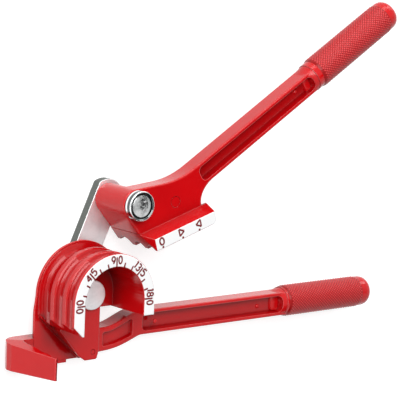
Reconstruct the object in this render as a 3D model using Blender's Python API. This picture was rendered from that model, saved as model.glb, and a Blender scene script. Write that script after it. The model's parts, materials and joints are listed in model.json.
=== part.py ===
# Hand tube bender for 6, 8 and 10 mm tube, closed by a swinging link between its two castings.
# It lies on its back: +X runs along the lower handle, +Y is up the scale, +Z is its front.
# The origin is the bending axis, at the lowest face, which is the rear end of the former's pin.

import math

import bmesh
import bpy
from mathutils import Matrix

# Tube grooves, front to back
tube_radii = (0.003, 0.004, 0.005)
groove_lip = 0.0005
groove_lip_angle = 12
rim_width = 0.0026
ridge_width = 0.004
flange_width = 0.0024

# Stack of pieces along the two pins, from the back
clearance = 0.0003
tail_height = 0.0018
rear_washer_thickness = 0.0012
link_thickness = 0.006
spacer_thickness = 0.001

# Former: half ring with two straight ends, a web across it, and a pad round its pin
former_radius = 0.028
flange_radius = 0.0299
flange_edge_round = 0.0004
flange_root = 0.0287
cavity_front_radius = 0.0205
cavity_back_radius = 0.0189
front_edge_round = 0.0004
web_depth = 0.029
web_radius = 0.024
ring_right_drop = 0.0097
ring_left_drop = 0.024
ring_tip_drop = 0.0177
ring_cut_reach = 0.0396
pad_depth = 0.0245
pad_radius = 0.0091

# Foot below the former, narrower at its back, on a step
foot_right = 0.0074
foot_shank = 0.0342
foot_bottom = 0.0391
foot_toe_width = 0.0096
foot_heel_width = 0.0141
foot_heel_height = 0.0031
foot_side = 0.0199
foot_side_drop = 0.0199
foot_shoulder_drop = 0.0105
foot_corner_round = 0.0014
foot_edge_round = 0.0007
foot_back_reach = 0.0389
foot_back_bottom = 0.0368
step_rise = 0.0023
step_reach = 0.0407

# Hook that holds the tube, and the plate and arm that carry it
plate_left = 0.0312
plate_left_drop = 0.009
plate_thickness = 0.0018
plate_lap = 0.0008
plate_step = 0.0005
plate_right = 0.0052
plate_low_right = 0.001
hook_back_height = 0.0011
hook_top = 0.0249
plate_bottom = 0.0399
arm_inner_end = 0.008
arm_inner_slope = 0.006
hook_bottom = 0.0416
hook_outer_back = 0.0511
hook_outer_front = 0.0376
hook_inner_back = 0.0388
hook_inner_front = 0.0367
hook_front_depth = 0.003
hook_corner_round = 0.0095
hook_root_round = 0.0016
hook_tip_round = 0.0002
hook_outer_back_drop = 0.0014
hook_outer_front_drop = 0.004
hook_scallop = 0.0008

# Lower handle
lower_front_depth = 0.0249
lower_thickness = 0.012
lower_axis_drop = 0.0204
lower_crank_start = 0.012
lower_crank_end = 0.037
lower_crank_top = 0.0207
lower_crank_bottom = 0.0355
lower_crank_bend = 0.0202
lower_crank_bend_drop = 0.0345
lower_crank_bend_round = 0.055
lower_crank_end_round = 0.012
lower_arm_top = 0.0068
lower_arm_bottom = 0.0079
lower_grip_start = 0.151
lower_grip_end = 0.2251
lower_panel_start = 0.0098
lower_panel_end = 0.0315
lower_panel_margin = 0.0029
lower_panel_round = 0.0015
lower_panel_sink = 0.0024
lower_recess_start = 0.0385

# Both handles
arm_edge_round = 0.0008
arm_recess_sink = 0.0048
arm_recess_top_rim = 0.002
arm_recess_bottom_rim = 0.0022
arm_recess_draft = 0.001
arm_recess_end_round = 0.003
arm_end_wall = 0.003
arm_end_lap = 0.002
collar_length = 0.009
collar_lap = 0.0015
grip_radius = 0.0096
grip_neck_radius = 0.0091
lower_neck_length = 0.0055
upper_neck_length = 0.0085
grip_neck_slope = 0.0009
lower_grip_round = 0.0056
upper_grip_round = 0.0054

# Shoe in its own frame, with its pin at the origin and its grooves below, along +X
shoe_height = 0.028
shoe_mark_offset = 0.006
shoe_left = 0.0015
shoe_left_lean = 0.0041
shoe_right = 0.0448
shoe_front_right = 0.0466
shoe_corner_cut = 0.0022
boss_radius = 0.009
shoe_front_depth = 0.009
shoe_wall_thickness = 0.012
shoe_block_height = 0.0104
shoe_plate_height = 0.0073
shoe_lip_height = 0.0022
shoe_wall_lap = 0.0045
shoe_saddle_reach = 0.033
shoe_saddle_round = 0.055
boss_web_angle = 205
shoe_neck_start = 0.0565
shoe_web_width = 0.0062
upper_axis_drop = 0.0124
upper_arm_top = 0.0064
upper_arm_bottom = 0.0071
upper_recess_start = 0.047
upper_grip_start = 0.15
upper_grip_end = 0.2265

# Link, pins and washers
link_half_width = 0.0094
link_lean = 4.4
link_end_radius = 0.0113
link_foot_offset = 0.0018
link_foot_angle = 275
link_waist = 0.022
link_edge_round = 0.0004
pin_radius = 0.005
pin_head_radius = 0.0087
pin_head_height = 0.0022
pin_head_round = 0.0004
tail_radius = 0.0068
tail_round = 0.0008
washer_radius = 0.0086
spacer_radius = 0.0074
washer_chamfer = 0.0002
cup_radius = 0.0087
cup_height = 0.0055
cup_floor = 0.0034
cup_wall = 0.0013
cup_round = 0.0006
peen_radius = 0.0064
peen_height = 0.0011
peen_crown = 0.0007

# Pose at rest, as angles from +X in degrees
link_angle = 70.4
shoe_angle = 17.5
handle_tilt = 14.7

# Counts of facets, and how far a cutter runs past what it cuts
round_sides = 40
grip_sides = 36
bend_steps = 30
groove_steps = 8
curve_steps = 8
corner_steps = 4
edge_steps = 2
overrun = 0.002
sharp_angle = 32

former_width = rim_width + flange_width + 2 * ridge_width + 2 * sum(tube_radii)
link_bottom = tail_height + rear_washer_thickness + 2 * clearance
link_top = link_bottom + link_thickness
casting_back = link_top + clearance
spacer_pocket = spacer_thickness + clearance
front = casting_back + former_width
plate_depth = former_width - plate_thickness
step_depth = plate_depth - step_rise
arm_depth = plate_depth + clearance
link_length = math.hypot(former_radius + shoe_height + clearance, shoe_mark_offset)


def at_depth(depth):
    """Height of a plane that lies this deep behind the front face."""
    return front - depth


def groove_depths():
    """Depths of the groove centres behind the front face."""
    depths = []
    edge = rim_width
    for radius in tube_radii:
        depths.append(edge + radius)
        edge += 2 * radius + ridge_width
    return depths


def arc(x, y, radius, start, end, steps):
    """Points on an arc, with its angles in degrees."""
    angles = [math.radians(start + (end - start) * i / steps) for i in range(steps + 1)]
    return [(x + radius * math.cos(a), y + radius * math.sin(a)) for a in angles]


def eased(start, end, steps):
    """An S-shaped run between two points, level at both ends."""
    points = []
    for i in range(steps + 1):
        share = i / steps
        rise = share * share * (3 - 2 * share)
        x = start[0] + (end[0] - start[0]) * share
        points.append((x, start[1] + (end[1] - start[1]) * rise))
    return points


def rounded(corners, steps=corner_steps):
    """An outline from (x, y, radius) corners, each radius replaced by an arc."""
    points = []
    count = len(corners)
    for i, (x, y, radius) in enumerate(corners):
        if not radius:
            points.append((x, y))
            continue
        before = corners[i - 1]
        after = corners[(i + 1) % count]
        first = math.atan2(before[1] - y, before[0] - x)
        last = math.atan2(after[1] - y, after[0] - x)
        turn = (last - first + math.pi) % (2 * math.pi) - math.pi
        reach = radius / math.sin(abs(turn) / 2)
        middle = first + turn / 2
        centre = (x + reach * math.cos(middle), y + reach * math.sin(middle))
        sweep = (math.pi - abs(turn)) * (-1 if turn > 0 else 1)
        base = middle + math.pi - sweep / 2
        for k in range(steps + 1):
            a = base + sweep * k / steps
            points.append((centre[0] + radius * math.cos(a), centre[1] + radius * math.sin(a)))
    return points


def inset(outline, distance):
    """The outline moved inwards, corner by corner. The outline runs anticlockwise."""
    if not distance:
        return list(outline)
    moved = []
    count = len(outline)
    for i, (x, y) in enumerate(outline):
        ax, ay = outline[i - 1]
        bx, by = outline[(i + 1) % count]
        first = math.atan2(y - ay, x - ax)
        last = math.atan2(by - y, bx - x)
        turn = (last - first + math.pi) % (2 * math.pi) - math.pi
        normal = first + turn / 2 + math.pi / 2
        reach = distance / math.cos(turn / 2)
        moved.append((x + reach * math.cos(normal), y + reach * math.sin(normal)))
    return moved


def finish(name, colour, roughness, metallic):
    material = bpy.data.materials.new(name)
    material.use_nodes = True
    shader = material.node_tree.nodes["Principled BSDF"]
    shader.inputs["Base Color"].default_value = (*colour, 1)
    shader.inputs["Roughness"].default_value = roughness
    shader.inputs["Metallic"].default_value = metallic
    return material


def placed(name, mesh, material, parent=None, helper=False):
    """An object for the mesh, shaded smooth up to sharp corners. A helper isn't rendered."""
    work = bmesh.new()
    work.from_mesh(mesh)
    bmesh.ops.recalc_face_normals(work, faces=work.faces)
    work.to_mesh(mesh)
    work.free()
    mesh.shade_smooth()
    mesh.set_sharp_from_angle(angle=math.radians(sharp_angle))
    mesh.materials.append(material)
    item = bpy.data.objects.new(name, mesh)
    item.parent = parent
    if helper:
        item.hide_render = True
        item.display_type = "WIRE"
    bpy.context.scene.collection.objects.link(item)
    return item


def lofted(name, loops):
    """A closed mesh through loops of equally many points, its two ends filled."""
    size = len(loops[0])
    points = [point for loop in loops for point in loop]
    faces = []
    for row in range(len(loops) - 1):
        low, high = row * size, (row + 1) * size
        for i in range(size):
            j = (i + 1) % size
            faces.append((low + i, low + j, high + j, high + i))
    faces.append(tuple(range(size))[::-1])
    faces.append(tuple(range(len(points) - size, len(points))))
    mesh = bpy.data.meshes.new(name)
    mesh.from_pydata(points, [], faces)
    return mesh


def stacked(name, outline, levels):
    """A plate whose outline is drawn in by a given distance at each height."""
    loops = [[(x, y, height) for x, y in inset(outline, step)] for height, step in levels]
    return lofted(name, loops)


def plate(name, outline, low, high, low_round=0, high_round=0):
    """A flat plate with this outline, its edges rounded where asked."""
    lower = [(low, low_round)]
    upper = [(high, high_round)]
    if low_round:
        lower = edge_levels(low, low_round, 1)
    if high_round:
        upper = edge_levels(high, high_round, -1)[::-1]
    return stacked(name, outline, lower + upper)


def edge_levels(height, radius, side):
    """(height, inset) levels of one rounded edge, from its face towards the middle of the plate."""
    levels = []
    for i in range(edge_steps + 1):
        a = math.radians(90 * i / edge_steps)
        levels.append((height + side * radius * (1 - math.cos(a)), radius * (1 - math.sin(a))))
    return levels


def turned(name, profile, sides=round_sides):
    """A mesh turned about Z from a closed profile of (radius, height) points."""
    points = []
    rings = []
    for radius, height in profile:
        first = len(points)
        if radius:
            for i in range(sides):
                a = 2 * math.pi * i / sides
                points.append((radius * math.cos(a), radius * math.sin(a), height))
            rings.append([first + i for i in range(sides)])
        else:
            points.append((0, 0, height))
            rings.append([first] * sides)
    faces = []
    for this, after in zip(rings, rings[1:] + rings[:1]):
        for i in range(sides):
            j = (i + 1) % sides
            corners = list(dict.fromkeys((this[i], this[j], after[j], after[i])))
            if len(corners) > 2:
                faces.append(corners)
    mesh = bpy.data.meshes.new(name)
    mesh.from_pydata(points, [], faces)
    return mesh


def groove_points(lip_height=0):
    """(depth, sinking) points of the three grooves, from the front face to the last groove's end."""
    points = [(0, front_edge_round), (front_edge_round, 0)]
    edge = rim_width
    for radius in tube_radii:
        last = math.radians(180 - groove_lip_angle)
        if lip_height and radius == tube_radii[-1]:
            last = math.pi - math.asin(lip_height / radius)
        first = math.radians(groove_lip_angle)
        points.append((edge - groove_lip, 0))
        for i in range(groove_steps + 1):
            a = first + (last - first) * i / groove_steps
            points.append((edge + radius - radius * math.cos(a), radius * math.sin(a)))
        if radius != tube_radii[-1]:
            points.append((edge + 2 * radius + groove_lip, 0))
        edge += 2 * radius + ridge_width
    return points


def trimmed(mesh, point, direction):
    """The mesh without what lies beyond a plane, closed again along it."""
    work = bmesh.new()
    work.from_mesh(mesh)
    everything = work.verts[:] + work.edges[:] + work.faces[:]
    bmesh.ops.bisect_plane(
        work, geom=everything, plane_co=point, plane_no=direction, clear_outer=True
    )
    edges = [edge for edge in work.edges if edge.is_boundary]
    bmesh.ops.holes_fill(work, edges=edges, sides=0)
    work.to_mesh(mesh)
    work.free()
    return mesh


def moved(mesh, matrix):
    """The mesh, moved by a matrix."""
    mesh.transform(matrix)
    return mesh


def combined(target, operation, helpers, solver="EXACT"):
    """Joins the helpers to the target, or cuts them from it, one at a time."""
    for helper in helpers:
        modifier = target.modifiers.new(helper.name, "BOOLEAN")
        modifier.operation = operation
        modifier.solver = solver
        modifier.object = helper


def handle_frame(angle, drop, depth):
    """Matrix that lays a piece turned about Z along a handle's grip axis."""
    turn = Matrix.Rotation(math.radians(angle), 4, "Z")
    shift = Matrix.Translation((0, -drop, at_depth(depth)))
    return turn @ shift @ Matrix.Rotation(math.pi / 2, 4, "Y")


def grip_mesh(name, start, end, neck_length, end_round):
    """A plain round grip with a slimmer neck, turned about Z."""
    profile = [(0, start), (grip_neck_radius, start)]
    neck_end = start + neck_length
    profile.append((grip_neck_radius, neck_end))
    profile.append((grip_radius, neck_end + grip_neck_slope))
    profile += arc(grip_radius - end_round, end - end_round, end_round, 0, 90, corner_steps)
    profile.append((0, end))
    return turned(name, profile, grip_sides)


def collar_mesh(name, start, thickness, top, bottom):
    """A collar along Z that spreads from the arm's flat section to the grip's round neck."""
    side = thickness / 2 - clearance
    loops = []
    for i in range(curve_steps + 1):
        share = i / curve_steps
        swell = share * share * (3 - 2 * share)
        loop = []
        for k in range(grip_sides):
            a = 2 * math.pi * k / grip_sides
            across, up = math.cos(a), math.sin(a)
            face = (top if up > 0 else bottom) - clearance
            radius = 1 / max(abs(across) / side, abs(up) / face)
            radius += (grip_neck_radius - clearance - radius) * swell
            height = start - collar_length + (collar_length + collar_lap) * share
            loop.append((radius * across, radius * up, height))
        loops.append(loop)
    return lofted(name, loops)


def recess_mesh(name, outline, face, sink, side):
    """A pocket cutter whose walls draw in towards its floor."""
    levels = [(face + side * overrun, 0), (face, 0), (face - side * sink, arm_recess_draft)]
    if side > 0:
        levels.reverse()
    return stacked(name, outline, levels)


def ring_mesh():
    """The grooved half ring with its two straight ends."""
    outer = [(former_radius - sink, at_depth(depth)) for depth, sink in groove_points()]
    outer.append((flange_root, at_depth(former_width - flange_width + flange_edge_round)))
    outer.append((flange_root, at_depth(former_width - plate_lap)))
    inner = [(cavity_back_radius, at_depth(former_width - plate_lap))]
    inner.append((cavity_front_radius, at_depth(front_edge_round)))
    inner.append((cavity_front_radius + front_edge_round, at_depth(0)))
    profile = outer + inner
    stations = [(0, -ring_right_drop)]
    stations += [(math.pi * i / bend_steps, 0) for i in range(bend_steps + 1)]
    stations.append((math.pi, -ring_left_drop))
    loops = []
    for a, drop in stations:
        loops.append([(r * math.cos(a), r * math.sin(a) + drop, z) for r, z in profile])
    mesh = lofted("ring", loops)
    trimmed(mesh, (-ring_cut_reach, 0, 0), (-1, -1, 0))
    return trimmed(mesh, (0, -ring_tip_drop, 0), (0, -1, 0))


def foot_corners(reach, bottom):
    """Corners of the foot, whose left side ends on the line x + y = -reach at its top."""
    right = foot_right
    toe = foot_right - foot_toe_width
    heel = foot_right - foot_heel_width
    heel_y = foot_heel_height - bottom
    shift = reach - ring_cut_reach
    return [
        (right, 0, 0),
        (right, -foot_shank, 0),
        (right - foot_corner_round, -bottom, foot_corner_round),
        (toe, -bottom, foot_corner_round),
        (heel - shift, heel_y, foot_corner_round),
        (-foot_side - shift, -foot_side_drop, 0),
        (-foot_side, -foot_shoulder_drop, 0),
        (-pad_radius, 0, 0),
    ]


def foot_mesh():
    """The foot, drawn in towards its back."""
    face = rounded(foot_corners(ring_cut_reach, foot_bottom))[::-1]
    back = rounded(foot_corners(foot_back_reach, foot_back_bottom))[::-1]
    levels = edge_levels(at_depth(pad_depth), foot_edge_round, -1)[::-1]
    loops = [[(x, y, at_depth(step_depth + overrun)) for x, y in back]]
    for height, step in levels:
        loops.append([(x, y, height) for x, y in inset(face, step)])
    return lofted("foot", loops)


def step_mesh():
    """The step that the foot stands on, in line with the ring's slanted end."""
    top = former_radius
    inner = cavity_front_radius
    cut = ring_cut_reach - plate_step
    right = foot_right - plate_step
    bottom = plate_bottom - plate_step
    outline = [
        (right, 0),
        (-inner, 0),
        (-inner, inner - cut),
        (-top, top - cut),
        (-top, top - step_reach),
        (bottom - step_reach, -bottom),
        (plate_low_right - plate_step, -bottom),
        (right, plate_step - foot_back_bottom),
    ]
    return plate("step", outline, at_depth(former_width - plate_lap), at_depth(step_depth))


def web_mesh():
    """The floor of the former's cavity."""
    outline = arc(0, 0, web_radius, 0, 180, bend_steps)
    low = plate_step - ring_right_drop
    outline += [(-web_radius, low), (web_radius, low)]
    return plate("web", outline, at_depth(former_width - plate_lap), at_depth(web_depth))


def back_plate_mesh():
    """The plate behind the whole former, whose round edge is the flange beside the last groove."""
    outline = arc(0, 0, flange_radius, 0, 180, bend_steps)
    outline += [
        (-plate_left, -plate_left_drop),
        (-plate_left, -plate_bottom),
        (plate_low_right, -plate_bottom),
        (plate_right, -foot_back_bottom),
        (plate_right, -ring_right_drop - plate_step),
        (flange_radius, -ring_right_drop - plate_step),
    ]
    low, high = at_depth(former_width), at_depth(plate_depth)
    return plate("back_plate", outline, low, high, flange_edge_round, flange_edge_round)


def hook_mesh():
    """The hook and its arm, as one plan outline of (x, height) with a sloped top over the hook."""
    root = at_depth(arm_depth)
    back = hook_back_height
    tip = at_depth(hook_front_depth)
    length = arm_depth - hook_front_depth
    inner = []
    for depth, radius in zip(groove_depths(), tube_radii):
        for k in (-1, 0, 1):
            share = (arm_depth - depth - k * radius) / length
            x = hook_inner_back + (hook_inner_front - hook_inner_back) * share
            inner.append((-x - (hook_scallop if not k else 0), at_depth(depth + k * radius), 0))
    corners = [
        (-hook_inner_back, root, hook_root_round),
        (-arm_inner_end, root, 0),
        (-arm_inner_end, at_depth(former_width), 0),
        (-arm_inner_end - arm_inner_slope, back, 0),
        (-hook_outer_back, back, hook_corner_round),
        (-hook_outer_front, tip, hook_tip_round),
        (-hook_inner_front, tip, hook_tip_round),
    ]
    outline = rounded(inner + corners)
    loops = [[(x, y, z) for x, z in outline] for y in (-hook_bottom, -hook_top)]
    mesh = lofted("hook", loops)
    across = hook_outer_back_drop / (hook_outer_back - hook_inner_back)
    forward = hook_outer_front_drop / length
    return trimmed(mesh, (-hook_inner_back, -hook_top, root), (-across, 1, forward))


def crank_low_edge():
    """Lower edge of the lower handle, from the former to the grip."""
    return rounded([
        (0, -lower_crank_bottom, 0),
        (lower_crank_bend, -lower_crank_bend_drop, lower_crank_bend_round),
        (lower_crank_end, -lower_axis_drop - lower_arm_bottom, lower_crank_end_round),
        (lower_grip_start + arm_end_lap, -lower_axis_drop - lower_arm_bottom, 0),
    ], curve_steps)


def crank_top_edge():
    """Upper edge of the lower handle, from the former to the grip."""
    top = lower_arm_top - lower_axis_drop
    rise = eased((lower_crank_start, -lower_crank_top), (lower_crank_end, top), curve_steps)
    return [(0, -lower_crank_top)] + rise + [(lower_grip_start + arm_end_lap, top)]


def height_at(points, x):
    """Height of a line of points at this place along it."""
    for (ax, ay), (bx, by) in zip(points, points[1:]):
        if ax <= x <= bx:
            return ay + (by - ay) * (x - ax) / (bx - ax)
    return points[-1][1]


def lower_arm_mesh():
    """The lower handle's arm, with the crank that lifts it from the former to the grip's axis."""
    outline = crank_low_edge() + crank_top_edge()[::-1]
    face = at_depth(lower_front_depth)
    rounding = arm_edge_round
    return plate("lower_arm", outline, face - lower_thickness, face, rounding, rounding)


def lower_cutters():
    """Pockets in the lower handle: one in the crank and one on each side of the arm."""
    axis = -lower_axis_drop
    face = at_depth(lower_front_depth)
    top = axis + lower_arm_top - arm_recess_top_rim
    low = axis - lower_arm_bottom + arm_recess_bottom_rim
    end = lower_grip_start - arm_end_wall
    corner = arm_recess_end_round
    long = rounded([
        (lower_recess_start, low, corner),
        (end, low, corner),
        (end, top, corner),
        (lower_recess_start, top, corner),
    ])
    low_edge = []
    top_edge = []
    for i in range(curve_steps + 1):
        x = lower_panel_start + (lower_panel_end - lower_panel_start) * i / curve_steps
        corner = 0 if 0 < i < curve_steps else lower_panel_round
        low_edge.append((x, height_at(crank_low_edge(), x) + lower_panel_margin, corner))
        top_edge.append((x, height_at(crank_top_edge(), x) - lower_panel_margin, corner))
    panel = rounded(low_edge + top_edge[::-1])
    back = face - lower_thickness
    return [
        recess_mesh("lower_recess", long, face, arm_recess_sink, 1),
        recess_mesh("lower_recess_back", long, back, arm_recess_sink, -1),
        recess_mesh("lower_panel", panel, face, lower_panel_sink, 1),
    ]


def along(reach, height):
    """A point of the upper handle, from its grip axis, in the shoe's frame."""
    a = math.radians(handle_tilt)
    v = height - upper_axis_drop
    return (reach * math.cos(a) - v * math.sin(a), reach * math.sin(a) + v * math.cos(a))


def shoe_side(v):
    """Where the shoe's slanted left side is, at this height."""
    return shoe_left - shoe_left_lean * (v + shoe_height) / shoe_block_height


def shoe_wall_mesh():
    """The shoe's wall and the upper handle's arm, as one plate."""
    low = -shoe_height + shoe_block_height
    base = low - shoe_wall_lap
    end = upper_grip_start + arm_end_lap
    outline = [(shoe_side(base) + clearance, base), (shoe_right - clearance, base)]
    outline.append((shoe_right, low))
    neck = along(shoe_neck_start, -upper_arm_bottom)
    a = math.radians(handle_tilt)
    height = neck[1] - low
    width = neck[0] - shoe_right
    for i in range(1, curve_steps):
        share = i / curve_steps
        turn = (math.pi / 2 - a) * share
        x = shoe_right + width * (1 - math.cos(turn)) / (1 - math.sin(a))
        outline.append((x, low + height * math.sin(turn) / math.cos(a)))
    outline += [neck, along(end, -upper_arm_bottom), along(end, upper_arm_top)]
    saddle = along(shoe_saddle_reach, upper_arm_top)
    leave = math.atan2(saddle[1], saddle[0]) + math.acos(boss_radius / math.hypot(*saddle))
    boss = arc(0, 0, boss_radius, math.degrees(leave), boss_web_angle, 2 * curve_steps)
    bend = rounded([(*outline[-1], 0), (*saddle, shoe_saddle_round), (*boss[0], 0)], curve_steps)
    outline += bend[1:-1] + boss
    face = at_depth(shoe_front_depth)
    back = face - shoe_wall_thickness
    return plate("shoe_wall", outline, back, face, arm_edge_round, arm_edge_round)


def block_mesh(name, first, last, right):
    """A stretch of the grooved block between two depths."""
    points = [(d, s) for d, s in groove_points(shoe_lip_height) if first <= d <= last]
    ends = {0: points[0][1], former_width: shoe_lip_height}
    if last in ends:
        points.append((last, ends[last]))
    elif points[-1][0] < last:
        points.append((last, 0))
    if points[0][0] > first:
        points.insert(0, (first, 0))
    profile = [(-shoe_height + sink, at_depth(depth)) for depth, sink in points]
    top = -shoe_height + shoe_block_height
    profile.append((top, at_depth(last)))
    if first < shoe_front_depth:
        profile.append((top, at_depth(shoe_front_depth)))
        profile.append((-shoe_height + shoe_plate_height, at_depth(0)))
    else:
        profile.append((top, at_depth(first)))
    loops = [[(u, v, z) for v, z in profile] for u in (shoe_left - 2 * shoe_left_lean, right)]
    mesh = lofted(name, loops)
    side = (shoe_left, -shoe_height, 0)
    return trimmed(mesh, side, (-shoe_block_height, -shoe_left_lean, 0))


def shoe_parts():
    """Everything that is joined into the shoe, apart from its wall."""
    middle = rim_width + 2 * tube_radii[0] + ridge_width / 2
    face = block_mesh("block_front", 0, middle, shoe_front_right + overrun)
    lean = shoe_front_right - shoe_right
    corner = (shoe_front_right, -shoe_height + shoe_plate_height, at_depth(0))
    trimmed(face, corner, (shoe_front_depth, 0, lean))
    trimmed(face, (shoe_left, 0, at_depth(0)), (-shoe_front_depth, 0, shoe_left_lean))
    cut = shoe_front_right - shoe_corner_cut
    trimmed(face, (cut, -shoe_height, 0), (1, -1, 0))
    back = block_mesh("block_back", middle - groove_lip, former_width, shoe_right)
    boss = [(0, casting_back), (boss_radius, casting_back)]
    top = at_depth(shoe_front_depth + arm_edge_round)
    boss += [(boss_radius, top), (0, top)]
    low = -shoe_height + shoe_block_height - shoe_wall_lap
    side = math.radians(boss_web_angle)
    web = [
        (boss_radius * math.cos(side), boss_radius * math.sin(side)),
        (shoe_side(low) + clearance, low),
        (shoe_side(low) + shoe_web_width, low),
        (shoe_web_width - boss_radius / 2, 0),
    ]
    wall_back = at_depth(shoe_front_depth + shoe_wall_thickness)
    side_web = plate("shoe_web", web, casting_back, wall_back + overrun)
    return [face, back, turned("shoe_boss", boss), side_web]


def shoe_cutters():
    corner = arm_recess_end_round
    low = arm_recess_bottom_rim - upper_arm_bottom
    top = upper_arm_top - arm_recess_top_rim
    end = upper_grip_start - arm_end_wall
    outline = rounded([
        (*along(upper_recess_start, low), corner),
        (*along(end, low), corner),
        (*along(end, top), corner),
        (*along(upper_recess_start, top), corner),
    ])
    face = at_depth(shoe_front_depth)
    back = face - shoe_wall_thickness
    return [
        recess_mesh("upper_recess", outline, face, arm_recess_sink, 1),
        recess_mesh("upper_recess_back", outline, back, arm_recess_sink, -1),
    ]


def bore_mesh(name, top):
    """The hole for a pin, with the pocket for the spacer at its back."""
    low = casting_back
    hole = pin_radius + clearance
    pocket = spacer_radius + clearance
    profile = [(0, low - overrun), (pocket, low - overrun), (pocket, low + spacer_pocket)]
    profile += [(hole, low + spacer_pocket), (hole, top + overrun), (0, top + overrun)]
    return turned(name, profile)


def link_mesh():
    """The link, a bar that leans from the line between its pins, on a round foot."""
    lean = math.radians(link_lean)
    half = math.degrees(math.asin(link_half_width / link_end_radius))
    first, last = -half - link_lean, half - link_lean
    outline = arc(link_length, 0, link_end_radius, first, last, 2 * curve_steps)
    foot = link_length * math.tan(lean) - link_foot_offset / math.cos(lean)
    radius = link_half_width + link_foot_offset
    outline += arc(0, foot, radius, 90 - link_lean, link_foot_angle, 2 * curve_steps)
    waist = (link_length - link_waist) * math.tan(lean) - link_half_width / math.cos(lean)
    outline.append((link_waist, waist))
    return plate("link_bar", outline, link_bottom, link_top, link_edge_round, link_edge_round)


def washer_mesh(name, radius, low, high):
    """A flat washer that fits loosely on a pin."""
    hole = pin_radius + clearance
    edge = washer_chamfer
    return turned(name, [
        (hole, low),
        (radius - edge, low),
        (radius, low + edge),
        (radius, high - edge),
        (radius - edge, high),
        (hole, high),
    ])


def tail_profile():
    """The rear head of a pin, from the axis out and back to the shank."""
    corner = tail_round
    points = [(0, 0)]
    points += arc(tail_radius - corner, corner, corner, -90, 0, corner_steps)
    points += [(tail_radius, tail_height), (pin_radius, tail_height)]
    return points


def former_pin_mesh():
    low = at_depth(pad_depth) + clearance
    high = low + pin_head_height
    corner = pin_head_round
    profile = tail_profile() + [(pin_radius, low), (pin_head_radius, low)]
    profile += arc(pin_head_radius - corner, high - corner, corner, 0, 90, edge_steps)
    return turned("former_pin", profile + [(0, high)])


def shoe_pin_mesh():
    """The shoe's pin, whose front end is spread over the floor of the cup."""
    low = at_depth(shoe_front_depth) + cup_floor + 2 * clearance
    side = low + peen_height
    profile = tail_profile() + [(pin_radius, low), (peen_radius, low), (peen_radius, side)]
    for i in range(1, edge_steps + 1):
        share = i / (edge_steps + 1)
        profile.append((peen_radius * (1 - share), side + peen_crown * (1 - (1 - share) ** 2)))
    return turned("shoe_pin", profile + [(0, side + peen_crown)])


def cup_mesh():
    """The dished washer under the spread end of the shoe's pin."""
    low = at_depth(shoe_front_depth) + clearance
    high = low + cup_height
    corner = cup_round
    inner = cup_radius - cup_wall
    profile = [(pin_radius + clearance, low)]
    profile += arc(cup_radius - corner, low + corner, corner, -90, 0, edge_steps)
    profile += arc(cup_radius - corner, high - corner, corner, 0, 90, edge_steps)
    profile += [(inner, high - corner), (inner, low + cup_floor)]
    profile.append((pin_radius + clearance, low + cup_floor))
    return turned("shoe_pin_cup", profile)


for item in list(bpy.data.objects):
    bpy.data.objects.remove(item)

red = finish("red_paint", (0.6, 0.006, 0.01), 0.3, 0)
steel = finish("ground_steel", (0.6, 0.6, 0.61), 0.35, 1)
chrome = finish("chrome", (0.8, 0.8, 0.8), 0.08, 1)

link_axis = bpy.data.objects.new("link_axis", None)
link_axis.rotation_euler = (0, 0, math.radians(link_angle))
bpy.context.scene.collection.objects.link(link_axis)
shoe_axis = bpy.data.objects.new("shoe_axis", None)
shoe_axis.parent = link_axis
shoe_axis.location = (link_length, 0, 0)
shoe_axis.rotation_euler = (0, 0, math.radians(shoe_angle - link_angle))
bpy.context.scene.collection.objects.link(shoe_axis)

# Former with the lower handle
former = placed("former_handle", ring_mesh(), red)
lower_grip = grip_mesh(
    "lower_grip", lower_grip_start, lower_grip_end, lower_neck_length, lower_grip_round
)
lower_depth = lower_front_depth + lower_thickness / 2
lower_collar = collar_mesh(
    "lower_collar", lower_grip_start, lower_thickness, lower_arm_top, lower_arm_bottom
)
for piece in (lower_grip, lower_collar):
    moved(piece, handle_frame(0, lower_axis_drop, lower_depth))
pad = turned("pad", [
    (0, at_depth(former_width - plate_lap)),
    (pad_radius, at_depth(former_width - plate_lap)),
    (pad_radius, at_depth(pad_depth)),
    (0, at_depth(pad_depth)),
])
joins = [web_mesh(), foot_mesh(), step_mesh(), pad, back_plate_mesh(), hook_mesh()]
joins += [lower_arm_mesh(), lower_grip, lower_collar]
combined(former, "UNION", [placed(m.name, m, red, None, True) for m in joins], "MANIFOLD")
cuts = lower_cutters() + [bore_mesh("former_bore", at_depth(pad_depth))]
combined(former, "DIFFERENCE", [placed(m.name, m, red, None, True) for m in cuts], "MANIFOLD")

# Shoe with the upper handle
shoe = placed("shoe_handle", shoe_wall_mesh(), red, shoe_axis)
upper_grip = grip_mesh(
    "upper_grip", upper_grip_start, upper_grip_end, upper_neck_length, upper_grip_round
)
upper_depth = shoe_front_depth + shoe_wall_thickness / 2
upper_collar = collar_mesh(
    "upper_collar", upper_grip_start, shoe_wall_thickness, upper_arm_top, upper_arm_bottom
)
for piece in (upper_grip, upper_collar):
    moved(piece, handle_frame(handle_tilt, upper_axis_drop, upper_depth))
joins = shoe_parts() + [upper_grip, upper_collar]
combined(shoe, "UNION", [placed(m.name, m, red, shoe_axis, True) for m in joins], "MANIFOLD")
cuts = shoe_cutters() + [bore_mesh("shoe_bore", at_depth(shoe_front_depth))]
combined(shoe, "DIFFERENCE", [placed(m.name, m, red, shoe_axis, True) for m in cuts], "MANIFOLD")

# Link with its two holes
link = placed("link_bar", link_mesh(), steel, link_axis)
for name, reach in (("former_hole", 0), ("shoe_hole", link_length)):
    hole = turned(name, [
        (0, link_bottom - overrun),
        (pin_radius + clearance, link_bottom - overrun),
        (pin_radius + clearance, link_top + overrun),
        (0, link_top + overrun),
    ])
    moved(hole, Matrix.Translation((reach, 0, 0)))
    combined(link, "DIFFERENCE", [placed(name, hole, steel, link_axis, True)])

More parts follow.
